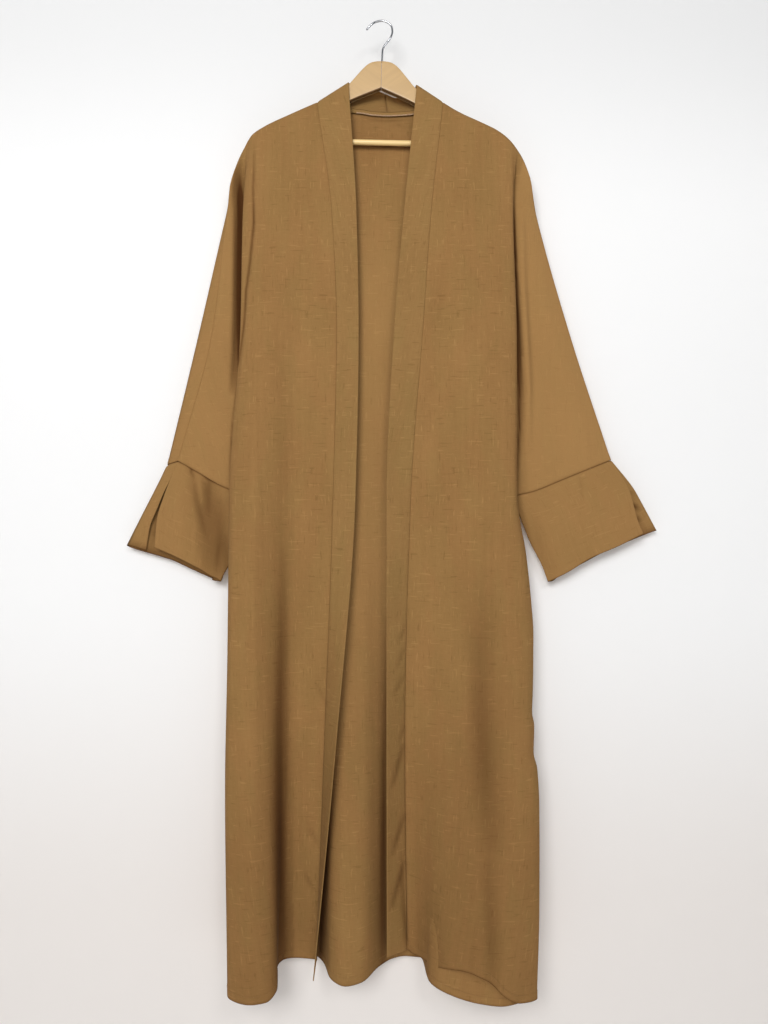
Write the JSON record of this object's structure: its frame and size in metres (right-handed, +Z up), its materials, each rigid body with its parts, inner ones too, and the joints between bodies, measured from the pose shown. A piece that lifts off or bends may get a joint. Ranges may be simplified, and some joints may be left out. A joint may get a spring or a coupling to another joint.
{
  "type": "open kimono-style robe on a wooden coat hanger",
  "caption": "Long open-front linen robe with a narrow folded front band, batwing sleeves and deep slit cuffs, hung by the shoulders on a wooden hanger with a wire hook",
  "frame": {"origin": "inner top of the hanger's hook, where a wall hook or rail carries it", "axes": "+Z up, -Y toward the room that the robe's open front faces, +Y toward the wall behind it, +X toward the wearer's left"},
  "size_m": [0.8852, 0.1046, 1.5679],
  "materials": {
    "linen": "slub plain weave, mustard brown",
    "band_linen": "doubled slub plain weave, pressed",
    "overlock": "overlocked edge",
    "maple": "satin lacquer",
    "bar_wood": "satin lacquer",
    "chrome": "polished wire"
  },
  "bodies": {
    "root": {"back": "linen", "front_right": "linen", "front_left": "linen", "band_right": "band_linen", "band_left": "band_linen", "cuff_right": "linen", "cuff_left": "linen", "neck_allowance": "overlock", "hanger_arm_right": "maple", "hanger_arm_left": "maple", "hanger_bar": "bar_wood", "hanger_hook": "chrome"}
  },
  "joints": []
}
